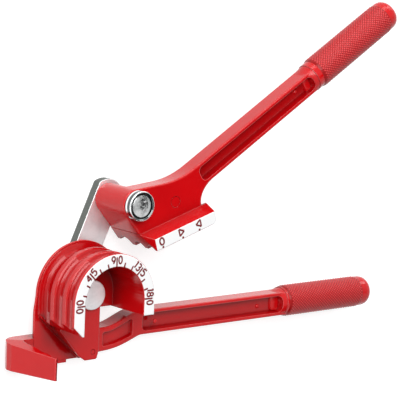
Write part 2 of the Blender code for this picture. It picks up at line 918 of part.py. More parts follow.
# Pins and washers
placed("former_pin", former_pin_mesh(), steel, link_axis)
placed("shoe_pin", shoe_pin_mesh(), steel, shoe_axis)
placed("shoe_pin_cup", cup_mesh(), chrome, shoe_axis)
rear = tail_height + clearance
spacer = link_top + clearance
for name, parent in (("former", link_axis), ("shoe", shoe_axis)):
    washer = washer_mesh(name + "_rear_washer", washer_radius, rear, rear + rear_washer_thickness)
    placed(washer.name, washer, steel, parent)
    washer = washer_mesh(name + "_spacer", spacer_radius, spacer, spacer + spacer_thickness)
    placed(washer.name, washer, steel, parent)
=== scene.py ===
import json
import math
import bpy
from mathutils import Matrix, Vector, noise


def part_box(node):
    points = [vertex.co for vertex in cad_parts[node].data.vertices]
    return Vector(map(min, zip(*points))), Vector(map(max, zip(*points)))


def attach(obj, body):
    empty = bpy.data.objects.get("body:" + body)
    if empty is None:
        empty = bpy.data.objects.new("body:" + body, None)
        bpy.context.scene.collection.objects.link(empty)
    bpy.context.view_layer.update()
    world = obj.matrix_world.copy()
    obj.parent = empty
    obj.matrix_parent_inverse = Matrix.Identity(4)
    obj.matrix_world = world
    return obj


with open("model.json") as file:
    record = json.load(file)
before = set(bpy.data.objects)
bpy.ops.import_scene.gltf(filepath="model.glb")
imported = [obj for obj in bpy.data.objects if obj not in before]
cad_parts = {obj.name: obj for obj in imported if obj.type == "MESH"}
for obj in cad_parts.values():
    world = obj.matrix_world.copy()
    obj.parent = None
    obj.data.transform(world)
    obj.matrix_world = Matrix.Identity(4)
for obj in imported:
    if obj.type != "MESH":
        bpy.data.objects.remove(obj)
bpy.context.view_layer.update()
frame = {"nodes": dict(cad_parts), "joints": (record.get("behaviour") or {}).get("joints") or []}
nodes = frame["nodes"]
joints = {joint["name"]: joint for joint in frame["joints"]}
mm = 0.001
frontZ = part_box("shoe_handle")[1].z  # plane of the printed faces
shoePin = Vector(joints["shoe_swing"]["pos_m"])
print("frame loaded")


# small helpers for shader trees

def newGroup(name, inputs, outputs):
    group = bpy.data.node_groups.new(name, "ShaderNodeTree")
    for label, kind, start in inputs:
        socket = group.interface.new_socket(label, in_out="INPUT", socket_type="NodeSocket" + kind)
        socket.default_value = start
    for label, kind in outputs:
        group.interface.new_socket(label, in_out="OUTPUT", socket_type="NodeSocket" + kind)
    return group, group.nodes.new("NodeGroupInput"), group.nodes.new("NodeGroupOutput")


def addNode(tree, kind, values=None, **settings):
    node = tree.nodes.new("ShaderNode" + kind)
    for name, value in settings.items():
        setattr(node, name, value)
    for name, value in (values or {}).items():
        if isinstance(value, bpy.types.NodeSocket):
            tree.links.new(value, node.inputs[name])
        else:
            node.inputs[name].default_value = value
    return node


def mathNode(tree, operation, first, second=0.0, clamp=False):
    node = addNode(tree, "Math", {0: first, 1: second}, operation=operation, use_clamp=clamp)
    return node.outputs[0]


def mixColours(tree, factor, first, second):
    node = addNode(tree, "Mix", {0: factor, 6: first, 7: second}, data_type="RGBA")
    return node.outputs[2]


def remap(tree, value, low, high, newLow, newHigh):
    node = addNode(tree, "MapRange", {0: value, 1: low, 2: high, 3: newLow, 4: newHigh})
    return node.outputs[0]


# finishes that several materials share

edgeCare = {
    "castRadius": 0.8 * mm,
    "metalRadius": 0.4 * mm,
    "bevelSamples": 6,
}


def buildCastSkin():
    # the slightly wavy, dusty skin of a painted casting
    tree, given, made = newGroup(
        "castSkin",
        [("Colour", "Color", (0.5, 0.0, 0.0, 1)), ("Deep Colour", "Color", (0.3, 0.0, 0.0, 1)),
         ("Roughness", "Float", 0.3), ("Wave Scale", "Float", 90.0), ("Wave Depth", "Float", 0.1)],
        [("Colour", "Color"), ("Roughness", "Float"), ("Normal", "Vector")])
    place = addNode(tree, "TexCoord").outputs["Object"]
    wide = addNode(tree, "TexNoise", {"Vector": place, "Scale": 45.0, "Detail": 3.0})
    fine = addNode(tree, "TexNoise", {"Vector": place, "Scale": 1400.0, "Detail": 4.0})
    peel = addNode(tree, "TexNoise", {"Vector": place, "Scale": given.outputs["Wave Scale"], "Detail": 2.0})
    shade = remap(tree, wide.outputs["Fac"], 0.35, 0.65, 0.0, 0.35)
    colour = mixColours(tree, shade, given.outputs["Colour"], given.outputs["Deep Colour"])
    rough = remap(tree, fine.outputs["Fac"], 0.3, 0.7, -0.04, 0.05)
    rough = mathNode(tree, "ADD", rough, given.outputs["Roughness"], clamp=True)
    height = mathNode(tree, "MULTIPLY", fine.outputs["Fac"], 0.12)
    height = mathNode(tree, "ADD", height, peel.outputs["Fac"])
    soft = addNode(tree, "Bevel", {"Radius": edgeCare["castRadius"]}, samples=edgeCare["bevelSamples"])
    bump = addNode(tree, "Bump", {"Strength": given.outputs["Wave Depth"], "Distance": 0.0003,
                                  "Height": height, "Normal": soft.outputs[0]})
    tree.links.new(colour, made.inputs["Colour"])
    tree.links.new(rough, made.inputs["Roughness"])
    tree.links.new(bump.outputs[0], made.inputs["Normal"])
    return tree


def buildGroundMetal():
    # fine grinding lines with a little staining, for bare steel and chrome
    tree, given, made = newGroup(
        "groundMetal",
        [("Colour", "Color", (0.6, 0.6, 0.6, 1)), ("Stain", "Color", (0.3, 0.3, 0.3, 1)),
         ("Stain Amount", "Float", 0.3), ("Roughness", "Float", 0.3), ("Line Depth", "Float", 0.1),
         ("Stretch", "Vector", (1.0, 12.0, 1.0))],
        [("Colour", "Color"), ("Roughness", "Float"), ("Normal", "Vector")])
    place = addNode(tree, "TexCoord").outputs["Object"]
    pulled = addNode(tree, "VectorMath", {0: place, 1: given.outputs["Stretch"]}, operation="MULTIPLY")
    lines = addNode(tree, "TexNoise", {"Vector": pulled.outputs[0], "Scale": 900.0, "Detail": 5.0})
    cloud = addNode(tree, "TexNoise", {"Vector": place, "Scale": 160.0, "Detail": 5.0})
    shade = remap(tree, cloud.outputs["Fac"], 0.4, 0.7, 0.0, 1.0)
    shade = mathNode(tree, "MULTIPLY", shade, given.outputs["Stain Amount"])
    colour = mixColours(tree, shade, given.outputs["Colour"], given.outputs["Stain"])
    rough = remap(tree, lines.outputs["Fac"], 0.3, 0.7, -0.08, 0.1)
    rough = mathNode(tree, "ADD", rough, given.outputs["Roughness"], clamp=True)
    soft = addNode(tree, "Bevel", {"Radius": edgeCare["metalRadius"]}, samples=edgeCare["bevelSamples"])
    bump = addNode(tree, "Bump", {"Strength": given.outputs["Line Depth"], "Distance": 0.0002,
                                  "Height": lines.outputs["Fac"], "Normal": soft.outputs[0]})
    tree.links.new(colour, made.inputs["Colour"])
    tree.links.new(rough, made.inputs["Roughness"])
    tree.links.new(bump.outputs[0], made.inputs["Normal"])
    return tree


castSkin = buildCastSkin()
groundMetal = buildGroundMetal()


def newMaterial(name, group, metallic, coat=0.0, **values):
    material = bpy.data.materials.new(name)
    material.use_nodes = True
    tree = material.node_tree
    shader = tree.nodes["Principled BSDF"]
    shader.inputs["Metallic"].default_value = metallic
    shader.inputs["Coat Weight"].default_value = coat
    shader.inputs["Coat Roughness"].default_value = 0.08
    if not metallic:
        shader.inputs["Specular IOR Level"].default_value = enamel["gloss"]
    finish = tree.nodes.new("ShaderNodeGroup")
    finish.node_tree = group
    for label, value in values.items():
        finish.inputs[label.replace("_", " ")].default_value = value
    tree.links.new(finish.outputs["Colour"], shader.inputs["Base Color"])
    tree.links.new(finish.outputs["Roughness"], shader.inputs["Roughness"])
    tree.links.new(finish.outputs["Normal"], shader.inputs["Normal"])
    return material, tree, shader, finish


enamel = {
    "red": (0.56, 0.002, 0.004, 1),
    "deepRed": (0.46, 0.001, 0.003, 1),
    "roughness": 0.14,
    "coat": 0.0,
    "gloss": 0.36,
    "white": (0.88, 0.885, 0.89, 1),
    "recessShadeRed": (0.16, 0.0, 0.001, 1),  # painted shade: darker red in the casting's hollows
    "recessShadeReach": 12.0 * mm,
    "recessShadeDepth": 0.8,
    "edgeHighlightRed": (0.86, 0.22, 0.22, 1),  # painted highlight: paler red along the convex edges
    "edgeHighlightReach": 0.7 * mm,
    "edgeHighlightStrength": 0.5,
    "printEdge": 0.16 * mm,  # how far behind the front plane the white still reaches
}


def redEnamel(name):
    # red paint, with the front plane painted white, painted shade in hollows and a painted highlight on edges
    material, tree, shader, finish = newMaterial(
        name, castSkin, 0.0, enamel["coat"], Colour=enamel["red"], Deep_Colour=enamel["deepRed"],
        Roughness=enamel["roughness"], Wave_Scale=260.0, Wave_Depth=0.05)
    place = addNode(tree, "TexCoord").outputs["Object"]
    split = addNode(tree, "SeparateXYZ", {0: place})
    white = mathNode(tree, "GREATER_THAN", split.outputs["Z"], frontZ - enamel["printEdge"])
    openness = addNode(tree, "AmbientOcclusion", {"Distance": enamel["recessShadeReach"]}, samples=8, only_local=True)
    # painted shade: the red darkens where the casting's own hollows lie in shade
    recessShade = remap(tree, openness.outputs["AO"], 0.35, 0.95, enamel["recessShadeDepth"], 0.0)
    red = mixColours(tree, recessShade, finish.outputs["Colour"], enamel["recessShadeRed"])
    # painted highlight: the bevel's normal leaves the true one only near edges, which turn paler; hollow corners stay
    # dark
    rounded = addNode(tree, "Bevel", {"Radius": enamel["edgeHighlightReach"]}, samples=edgeCare["bevelSamples"])
    flat = addNode(tree, "NewGeometry").outputs["Normal"]
    match = addNode(tree, "VectorMath", {0: rounded.outputs[0], 1: flat}, operation="DOT_PRODUCT").outputs["Value"]
    edgeHighlight = remap(tree, match, 0.86, 0.99, enamel["edgeHighlightStrength"], 0.0)
    edgeHighlight = mathNode(tree, "MULTIPLY", edgeHighlight, remap(tree, openness.outputs["AO"], 0.8, 0.95, 0.0, 1.0))
    red = mixColours(tree, edgeHighlight, red, enamel["edgeHighlightRed"])
    colour = mixColours(tree, white, red, enamel["white"])
    tree.links.new(colour, shader.inputs["Base Color"])
    return material


barSteel = {
    "face": (0.9, 0.9, 0.91, 1),
    "cutSideDarkReflection": (0.13, 0.14, 0.13, 1),  # the sheared sides are dull, with a painted dark reflection
    "cutRoughness": 0.55,
}


def barMaterial(name):
    # bright on the flat faces, with a painted dark reflection round the cut edge
    material, tree, shader, finish = newMaterial(
        name, groundMetal, 1.0, Colour=barSteel["face"], Stain=(0.66, 0.66, 0.68, 1), Stain_Amount=0.4,
        Roughness=0.46, Line_Depth=0.12, Stretch=(3.0, 14.0, 3.0))
    facing = addNode(tree, "SeparateXYZ", {0: addNode(tree, "TexCoord").outputs["Normal"]}).outputs["Z"]
    side = mathNode(tree, "LESS_THAN", mathNode(tree, "ABSOLUTE", facing), 0.6)
    # painted dark reflection on the side faces; their higher roughness is real
    colour = mixColours(tree, side, finish.outputs["Colour"], barSteel["cutSideDarkReflection"])
    rough = addNode(tree, "Mix", {0: side, 2: finish.outputs["Roughness"], 3: barSteel["cutRoughness"]})
    tree.links.new(colour, shader.inputs["Base Color"])
    tree.links.new(rough.outputs[0], shader.inputs["Roughness"])
    return material


formerPaint = redEnamel("formerPaint")
shoePaint = redEnamel("shoePaint")
gripPaint = newMaterial("gripPaint", castSkin, 0.0, 0.0, Colour=enamel["red"], Deep_Colour=enamel["deepRed"],
                        Roughness=0.18, Wave_Scale=260.0, Wave_Depth=0.04)[0]
markPaint = newMaterial("markPaint", castSkin, 0.0, Colour=(0.2, 0.006, 0.009, 1),
                        Deep_Colour=(0.28, 0.02, 0.025, 1), Roughness=0.5, Wave_Scale=900.0, Wave_Depth=0.1)[0]
barMetal = barMaterial("barMetal")
linkSteel = newMaterial("linkSteel", groundMetal, 1.0, Colour=(0.72, 0.72, 0.73, 1), Stain=(0.5, 0.5, 0.52, 1),
                        Stain_Amount=0.4, Roughness=0.34, Line_Depth=0.12, Stretch=(3.0, 14.0, 3.0))[0]
headSteel = newMaterial("headSteel", groundMetal, 1.0, Colour=(0.86, 0.87, 0.88, 1), Stain=(0.6, 0.61, 0.62, 1),
                        Stain_Amount=0.5, Roughness=0.48, Line_Depth=0.25, Stretch=(1.0, 1.0, 1.0))[0]
hammeredSteel = newMaterial("hammeredSteel", groundMetal, 1.0, Colour=(0.64, 0.65, 0.65, 1),
                            Stain=(0.18, 0.19, 0.19, 1), Stain_Amount=0.8, Roughness=0.16, Line_Depth=0.3,
                            Stretch=(1.0, 1.0, 1.0))[0]
cupChrome = {
    "bright": (0.86, 0.87, 0.88, 1),
    "dark": (0.1, 0.11, 0.11, 1),
    "wellRadius": 8.05 * mm,  # painted shade inside this radius
    "footDepth": 0.8 * mm,  # dark line where the cup meets the paint
    "bandLow": 2.1 * mm,  # painted dark reflection round the wall, from the cup's foot
    "bandHigh": 4.9 * mm,
}


def cupMaterial(name):
    material, tree, shader, finish = newMaterial(
        name, groundMetal, 1.0, Colour=cupChrome["bright"], Stain=(0.7, 0.71, 0.72, 1), Stain_Amount=0.2,
        Roughness=0.08, Line_Depth=0.02, Stretch=(1.0, 1.0, 1.0))
    place = addNode(tree, "TexCoord").outputs["Object"]
    split = addNode(tree, "SeparateXYZ", {0: place})
    across = addNode(tree, "CombineXYZ", {0: split.outputs["X"], 1: split.outputs["Y"]})
    reach = addNode(tree, "VectorMath", {0: across.outputs[0], 1: (shoePin.x, shoePin.y, 0)}, operation="DISTANCE")
    well = remap(tree, reach.outputs["Value"], cupChrome["wellRadius"], cupChrome["wellRadius"] + 0.25 * mm, 1.0, 0.0)
    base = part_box("shoe_pin_cup")[0].z
    low, bandLow, bandHigh = (base + cupChrome[key] for key in ("footDepth", "bandLow", "bandHigh"))
    foot = remap(tree, split.outputs["Z"], low, low + 0.2 * mm, 1.0, 0.0)
    bandStart = remap(tree, split.outputs["Z"], bandLow, bandLow + 0.4 * mm, 0.0, 1.0)
    bandEnd = remap(tree, split.outputs["Z"], bandHigh - 0.3 * mm, bandHigh, 1.0, 0.0)
    # painted shade in the well, a dark line at the foot and a painted dark reflection on the band
    dark = mathNode(tree, "MAXIMUM", well, foot)
    dark = mathNode(tree, "MAXIMUM", dark, mathNode(tree, "MULTIPLY", bandStart, bandEnd))
    colour = mixColours(tree, dark, finish.outputs["Colour"], cupChrome["dark"])
    tree.links.new(colour, shader.inputs["Base Color"])
    return material


brightChrome = cupMaterial("brightChrome")
print("materials ready")


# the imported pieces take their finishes

def dress(name, material, sharp=32):
    mesh = nodes[name].data
    mesh.materials.clear()
    mesh.materials.append(material)
    mesh.shade_smooth()
    mesh.set_sharp_from_angle(angle=math.radians(sharp))


dress("former_handle", formerPaint)
dress("shoe_handle", shoePaint)
dress("link_bar", barMetal)
dress("former_pin", headSteel)
dress("shoe_pin", hammeredSteel)
dress("shoe_pin_cup", brightChrome)
for name in ("former_rear_washer", "former_spacer", "shoe_rear_washer", "shoe_spacer"):
    dress(name, linkSteel)


def addPiece(name, mesh, material, body):
    piece = bpy.data.objects.new(name, mesh)
    bpy.context.scene.collection.objects.link(piece)
    mesh.materials.clear()
    mesh.materials.append(material)
    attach(piece, body)
    return piece


# painted marks: strokes of a round brush, pressed flat on the face

marks = {
    "strokeRadius": 0.5 * mm,
    "flatness": 0.22,
    "sharpTurn": 0.9,
    "digitWidth": 2.5 * mm,
    "oneWidth": 0.9 * mm,
    "digitHeight": 4.3 * mm,
    "digitGap": 1.15 * mm,  # from the long line to the nearest digit
    "digitSpace": 0.95 * mm,
    "digitRadius": 22.3 * mm,  # foot of the digits, from the bending axis
    "tickStart": 20.7 * mm,
    "longTickEnd": 26.2 * mm,
    "shortTickEnd": 23.3 * mm,
    "tickStep": 15,
}


def arcPoints(x, y, rx, ry, start, end, steps=14):
    angles = [math.radians(start + (end - start) * i / steps) for i in range(steps + 1)]
    return [(x + rx * math.cos(a), y + ry * math.sin(a)) for a in angles]


digitStrokes = {  # in a box one wide and one high
    "0": [arcPoints(0.5, 0.5, 0.45, 0.5, 0, 360, 24)],
    "1": [[(0.0, 0.8), (0.8, 1.0), (0.8, 0.0)]],
    "3": [arcPoints(0.46, 0.76, 0.4, 0.24, 150, -90) + arcPoints(0.46, 0.26, 0.46, 0.26, 90, -150)],
    "4": [[(0.74, 0.0), (0.74, 1.0), (0.0, 0.3), (1.0, 0.3)]],
    "5": [[(0.92, 1.0), (0.14, 1.0), (0.08, 0.55)] + arcPoints(0.46, 0.32, 0.5, 0.32, 128, -145)],
    "8": [arcPoints(0.5, 0.76, 0.38, 0.24, 0, 360, 20), arcPoints(0.5, 0.26, 0.46, 0.26, 0, 360, 20)],
    "9": [arcPoints(0.5, 0.7, 0.44, 0.3, 0, 360, 20), arcPoints(0.0, 0.7, 0.94, 0.7, 0, -62, 8)],
}


def cutAtCorners(points):
    # a bevelled line thins at a sharp corner, so each corner starts a new line
    lines = [[points[0]]]
    for before, here, after in zip(points, points[1:], points[2:]):
        lines[-1].append(here)
        turn = (Vector(here) - Vector(before)).angle(Vector(after) - Vector(here), 0)
        if turn > marks["sharpTurn"]:
            lines.append([here])
    lines[-1].append(points[-1])
    return lines


def strokeMesh(name, strokes, radius):
    # one flat ribbon of paint for each line of points, in metres on the plane z = 0
    strokes = [line for points in strokes for line in cutAtCorners(points)]
    curve = bpy.data.curves.new(name, "CURVE")
    curve.dimensions = "3D"
    curve.bevel_depth = radius
    curve.bevel_resolution = 2
    curve.use_fill_caps = True
    for points in strokes:
        closed = (Vector(points[0]) - Vector(points[-1])).length < 1e-6
        if closed:
            points = points[:-1]
        spline = curve.splines.new("POLY")
        spline.points.add(len(points) - 1)
        for knot, (x, y) in zip(spline.points, points):
            knot.co = (x, y, 0, 1)
        spline.use_cyclic_u = closed
    holder = bpy.data.objects.new(name, curve)
    mesh = bpy.data.meshes.new_from_object(holder)
    bpy.data.objects.remove(holder)
    mesh.transform(Matrix.Diagonal((1, 1, marks["flatness"], 1)))
    return mesh


def widthOf(digit):
    return marks["oneWidth"] if digit == "1" else marks["digitWidth"]


def digitsAt(text, left):
    # strokes of a row of digits whose foot starts at x = left and y = 0
    strokes = []
    for digit in text:
        wide = widthOf(digit)
        for points in digitStrokes[digit]:
            strokes.append([(left + x * wide, y * marks["digitHeight"]) for x, y in points])
        left += wide + marks["digitSpace"]
    return strokes


def scaleMark(angle, before, after):
    # a long line with digits on both sides, or a short line, at this angle of the scale
    end = marks["longTickEnd"] if before else marks["shortTickEnd"]
    strokes = [[(0, marks["tickStart"]), (0, end)]]
    if before:
        width = sum(widthOf(digit) + marks["digitSpace"] for digit in before) - marks["digitSpace"]
        foot = marks["digitRadius"]
        row = digitsAt(before, -marks["digitGap"] - width) + digitsAt(after, marks["digitGap"])
        strokes += [[(x, y + foot) for x, y in points] for points in row]
    name = "scaleMark" + str(angle)
    mesh = strokeMesh(name, strokes, marks["strokeRadius"])
    turn = Matrix.Rotation(math.radians(90 - angle), 4, "Z")
    mesh.transform(Matrix.Translation((0, 0, frontZ)) @ turn)
    return addPiece(name, mesh, markPaint, "former")


numbers = {0: ("0", "0"), 45: ("4", "5"), 90: ("9", "0"), 135: ("13", "5"), 180: ("18", "0")}
for angle in range(0, 181, marks["tickStep"]):
    before, after = numbers.get(angle, ("", ""))
    scaleMark(angle, before, after)
print("scale painted")


# plain marks on the shoe's front face: a zero and two arrowheads, each over a dot

shoeMarks = {
    "zeroX": 5.7 * mm,
    "rightX": 20.6 * mm,
    "leftX": 33.2 * mm,
    "strokeRadius": 0.56 * mm,
    "foot": -25.5 * mm,
    "dotDrop": 1.5 * mm,
    "dotReach": 0.6 * mm,
    "dotRadius": 0.62 * mm,
    "zeroHeight": 4.2 * mm,
    "zeroWidth": 3.3 * mm,
    "arrowWidth": 3.5 * mm,
    "arrowHeight": 4.2 * mm,
}
shoeTilt = math.radians(17.5)


def onShoe(x, y, z=0.0):
    turn = Matrix.Rotation(shoeTilt, 4, "Z")
    return shoePin + turn @ Vector((x, y, z))


def shoeMark(name, strokes, radius):
    mesh = strokeMesh(name, strokes, radius)
    mesh.transform(Matrix.Translation((*shoePin.xy, frontZ)) @ Matrix.Rotation(shoeTilt, 4, "Z"))
    return addPiece(name, mesh, markPaint, "shoe")


foot = shoeMarks["foot"]
zero = [(shoeMarks["zeroX"] + (x - 0.5) * shoeMarks["zeroWidth"], foot + y * shoeMarks["zeroHeight"])
        for x, y in digitStrokes["0"][0]]
half, high = shoeMarks["arrowWidth"] / 2, shoeMarks["arrowHeight"]
rightX, leftX = shoeMarks["rightX"], shoeMarks["leftX"]
right = [(rightX - half, foot), (rightX + half, foot + high / 2), (rightX - half, foot + high), (rightX - half, foot)]
left = [(leftX + half, foot), (leftX - half, foot + high / 2), (leftX + half, foot + high), (leftX + half, foot)]
for name, outline in (("zeroMark", zero), ("rightMark", right), ("leftMark", left)):
    shoeMark(name, [outline], shoeMarks["strokeRadius"])
for name, x in (("zeroDot", "zeroX"), ("rightDot", "rightX"), ("leftDot", "leftX")):
    y = foot - shoeMarks["dotDrop"]
    reach = shoeMarks["dotReach"]
    shoeMark(name, [[(shoeMarks[x] - reach, y), (shoeMarks[x] + reach, y)]], shoeMarks["dotRadius"])
print("shoe marked")


# knurled sleeves on both grips

knurl = {
    "radius": 9.62 * mm,
    "height": 0.33 * mm,
    "gloss": 0.24,
    "around": 66,  # half pitches round the grip
    "pitch": 1.1 * mm,  # half pitch along the grip
    "leadIn": 1.2 * mm,  # plain cone at each end
    "leadDrop": 0.5 * mm,
    "lowerStart": 153.6 * mm,
    "lowerEnd": 215.0 * mm,
    "upperStart": 155.2 * mm,
    "upperEnd": 218.0 * mm,
    # painted shade in the grooves and painted highlight on the points
    "grooveShadeRed": (0.3, 0.001, 0.002, 1),
    "pointHighlightRed": (0.76, 0.06, 0.065, 1),
}


def knurlMesh(name, start, end):
    # little pyramids between crossing grooves; the low corners join along each face's diagonal
    rows = int(round((end - start) / knurl["pitch"]))
    around = knurl["around"]
    points, peaks = [], []
    for i in range(-1, rows + 2):
        for j in range(around):
            inside = 0 <= i <= rows
            peak = inside and 0 < i < rows and (i + j) % 2
            radius = knurl["radius"] + (knurl["height"] if peak else 0) - (0 if inside else knurl["leadDrop"])
            a = 2 * math.pi * j / around
            lead = knurl["leadIn"] * ((i > rows) - (i < 0))
            x = start + min(max(i, 0), rows) * knurl["pitch"] + lead
            points.append((x, radius * math.cos(a), radius * math.sin(a)))
            peaks.append(float(peak))
    faces = []
    for i in range(rows + 2):
        for j in range(around):
            k = (j + 1) % around
            a, b = i * around + j, i * around + k
            c, d = (i + 1) * around + k, (i + 1) * around + j
            if (i - 1 + j) % 2:
                faces += [(a, b, d), (b, c, d)]
            else:
                faces += [(a, b, c), (a, c, d)]
    mesh = bpy.data.meshes.new(name)
    mesh.from_pydata(points, [], faces)
    mesh.attributes.new("peak", "FLOAT", "POINT").data.foreach_set("value", peaks)
    mesh.validate()
    return mesh


def knurlMaterial(name):
    # painted highlight on the points and painted shade in the grooves
    material, tree, shader, finish = newMaterial(
        name, castSkin, 0.0, enamel["coat"], Colour=enamel["red"], Deep_Colour=enamel["deepRed"],
        Roughness=0.3, Wave_Scale=260.0, Wave_Depth=0.04)
    shader.inputs["Specular IOR Level"].default_value = knurl["gloss"]
    peak = addNode(tree, "Attribute", attribute_name="peak").outputs["Fac"]
    peak = remap(tree, peak, 0.15, 0.8, 0.0, 1.0)
    colour = mixColours(tree, peak, knurl["grooveShadeRed"], knurl["pointHighlightRed"])
    tree.links.new(colour, shader.inputs["Base Color"])
    return material


knurlPaint = knurlMaterial("knurlPaint")


grips = {
    "lowerDrop": 20.4 * mm,
    "lowerDepth": 30.9 * mm,
    "upperDrop": 12.4 * mm,
    "upperDepth": 15.0 * mm,
    "upperTilt": 14.7,
}
lowerKnurl = knurlMesh("lowerKnurl", knurl["lowerStart"], knurl["lowerEnd"])
lowerKnurl.transform(Matrix.Translation((0, -grips["lowerDrop"], frontZ - grips["lowerDepth"])))
addPiece("lowerKnurl", lowerKnurl, knurlPaint, "former")
upperKnurl = knurlMesh("upperKnurl", knurl["upperStart"], knurl["upperEnd"])
upperKnurl.transform(Matrix.Translation((0, -grips["upperDrop"], frontZ - grips["upperDepth"])))
upperTurn = Matrix.Rotation(shoeTilt + math.radians(grips["upperTilt"]), 4, "Z")
upperKnurl.transform(Matrix.Translation((*shoePin.xy, 0)) @ upperTurn)
addPiece("upperKnurl", upperKnurl, knurlPaint, "shoe")
print("grips knurled")


# the spread end of the shoe's pin, beaten out with a few flats

beaten = {
    "radius": 6.5 * mm,
    "rings": 16,
    "sides": 56,
    "crown": 1.3 * mm,
    "dent": 1.1 * mm,
    "edge": 0.6 * mm,
    "lift": 0.3 * mm,
    "seed": 4.7,
}


def beatenMesh():
    low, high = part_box("shoe_pin")
    top = high.z + beaten["lift"]
    points, faces = [], []
    for i in range(beaten["rings"] + 2):
        share = min(i / beaten["rings"], 1)
        for j in range(beaten["sides"]):
            a = 2 * math.pi * j / beaten["sides"]
            r = beaten["radius"] * share
            x, y = r * math.cos(a), r * math.sin(a)
            bumps = noise.noise(Vector((x, y, beaten["seed"] * mm)) / (2.2 * mm))
            flats = abs(noise.noise(Vector((y, x, 0)) / (3.1 * mm)))
            z = top - beaten["crown"] * share ** 3 - beaten["dent"] * (flats + 0.4 * bumps + 0.2)
            if i > beaten["rings"]:
                z = top - beaten["crown"] - beaten["edge"]
            points.append((x, y, z))
    for i in range(beaten["rings"] + 1):
        for j in range(beaten["sides"]):
            k = (j + 1) % beaten["sides"]
            a, b = i * beaten["sides"] + j, i * beaten["sides"] + k
            faces.append((a, a + beaten["sides"], b + beaten["sides"], b))
    last = (beaten["rings"] + 1) * beaten["sides"]
    faces.append(tuple(last + j for j in reversed(range(beaten["sides"]))))
    mesh = bpy.data.meshes.new("beatenEnd")
    mesh.from_pydata(points, [], faces)
    mesh.validate()
    mesh.shade_smooth()
    mesh.transform(Matrix.Translation((*shoePin.xy, 0)))
    return mesh


addPiece("beatenEnd", beatenMesh(), hammeredSteel, "link")


# the bright serrated band that the shear left along the link's outer edge

shearBand = {
    "width": 2.2 * mm,
    "inset": 0.25 * mm,
    "pitch": 0.5 * mm,  # half of one tooth
    "slant": 0.9 * mm,
    "rise": 0.17 * mm,
}


def linkOuterEdge():
    # the straight part of the link's left edge on its front face, from low to high
    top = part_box("link_bar")[1]
    mesh = nodes["link_bar"].data
    places = [nodes["link_bar"].matrix_world @ vertex.co for vertex in mesh.vertices]
    front = [p for p in places if p.z > top.z - 0.01 * mm]
    axis = shoePin.xy.normalized()
    outer = [p for p in front if p.xy.dot(Vector((-axis.y, axis.x))) > 8.6 * mm]
    outer.sort(key=lambda p: p.xy.dot(axis))
    return outer[0].xy, outer[-1].xy, top.z


def shearMesh():
    low, high, front = linkOuterEdge()
    along = (high - low).normalized()
    inward = Vector((along.y, -along.x))
    count = int((high - low).length / shearBand["pitch"])
    points, faces = [], []
    for i in range(count + 1):
        rise = front + (shearBand["rise"] if i % 2 else 0.02 * mm)
        outside = low + along * i * shearBand["pitch"] + inward * shearBand["inset"]
        inside = outside + inward * shearBand["width"] + along * shearBand["slant"]
        points += [(*outside, front - 0.1 * mm), (*outside, rise), (*inside, rise), (*inside, front - 0.1 * mm)]
    for i in range(count):
        for j in range(4):
            a, b = 4 * i + j, 4 * i + (j + 1) % 4
            faces.append((a, a + 4, b + 4, b))
    faces += [(0, 1, 2, 3), tuple(4 * count + j for j in (3, 2, 1, 0))]
    mesh = bpy.data.meshes.new("shearBand")
    mesh.from_pydata(points, [], faces)
    mesh.validate()
    return mesh


addPiece("shearBand", shearMesh(), barMetal, "link")
print("steel parts detailed")


# small round witness marks that the casting tool leaves

witness = {
    "ring": 0.2 * mm,
    "rise": 0.07 * mm,
    "places": {  # body, x, y, depth of the face, radius
        "shoeWitness": ("shoe", 26.9 * mm, -8.5 * mm, 9.0 * mm, 3.5 * mm),
        "footWitness": ("former", 3.1 * mm, -34.4 * mm, 24.5 * mm, 1.7 * mm),
    },
}


def witnessMesh(name, radius):
    points, faces = [], []
    sides = 40
    for r, z in ((radius, 0.0), (radius, witness["rise"]), (radius - witness["ring"], witness["rise"]),
                 (radius - 2 * witness["ring"], 0.0)):
        for j in range(sides):
            a = 2 * math.pi * j / sides
            points.append((r * math.cos(a), r * math.sin(a), z))
    for i in range(4):
        for j in range(sides):
            k = (j + 1) % sides
            low, high = i * sides, (i + 1) % 4 * sides
            faces.append((low + j, low + k, high + k, high + j))
    mesh = bpy.data.meshes.new(name)
    mesh.from_pydata(points, [], faces)
    mesh.shade_smooth()
    mesh.set_sharp_from_angle(angle=math.radians(30))
    return mesh


for name, (body, x, y, depth, radius) in witness["places"].items():
    mesh = witnessMesh(name, radius)
    spot = onShoe(x, y) if body == "shoe" else Vector((x, y, 0))
    mesh.transform(Matrix.Translation((spot.x, spot.y, frontZ - depth)))
    addPiece(name, mesh, gripPaint, body)


# low pads and pips that stand on the floors of the handles' recesses

pads = {
    "length": 7.0 * mm,
    "width": 10.4 * mm,
    "rise": 1.7 * mm,
    "taper": 0.5 * mm,
    "corner": 0.9 * mm,
    "pipRadius": 1.4 * mm,
    "pipRise": 0.9 * mm,
    "lowerAt": (145.2 * mm, -20.4 * mm),
    "lowerPipAt": (131.8 * mm, -21.5 * mm),
    "upperAt": (145.2 * mm, -13.4 * mm),
    "upperPipAt": (135.2 * mm, -12.8 * mm),
    "crankPipAt": (47.9 * mm, -21.0 * mm),
    "lowerFloor": 29.7 * mm,
    "crankFace": 24.9 * mm,
    "upperFloor": 13.8 * mm,
}


def stackMesh(name, rings):
    # closed body from outlines of one count, low to high
    sides = len(rings[0])
    points = [point for ring in rings for point in ring]
    faces = []
    for i in range(len(rings) - 1):
        for j in range(sides):
            a, b = i * sides + j, i * sides + (j + 1) % sides
            faces.append((a, b, b + sides, a + sides))
    faces += [tuple(reversed(range(sides))), tuple(range(len(points) - sides, len(points)))]
    mesh = bpy.data.meshes.new(name)
    mesh.from_pydata(points, [], faces)
    return mesh


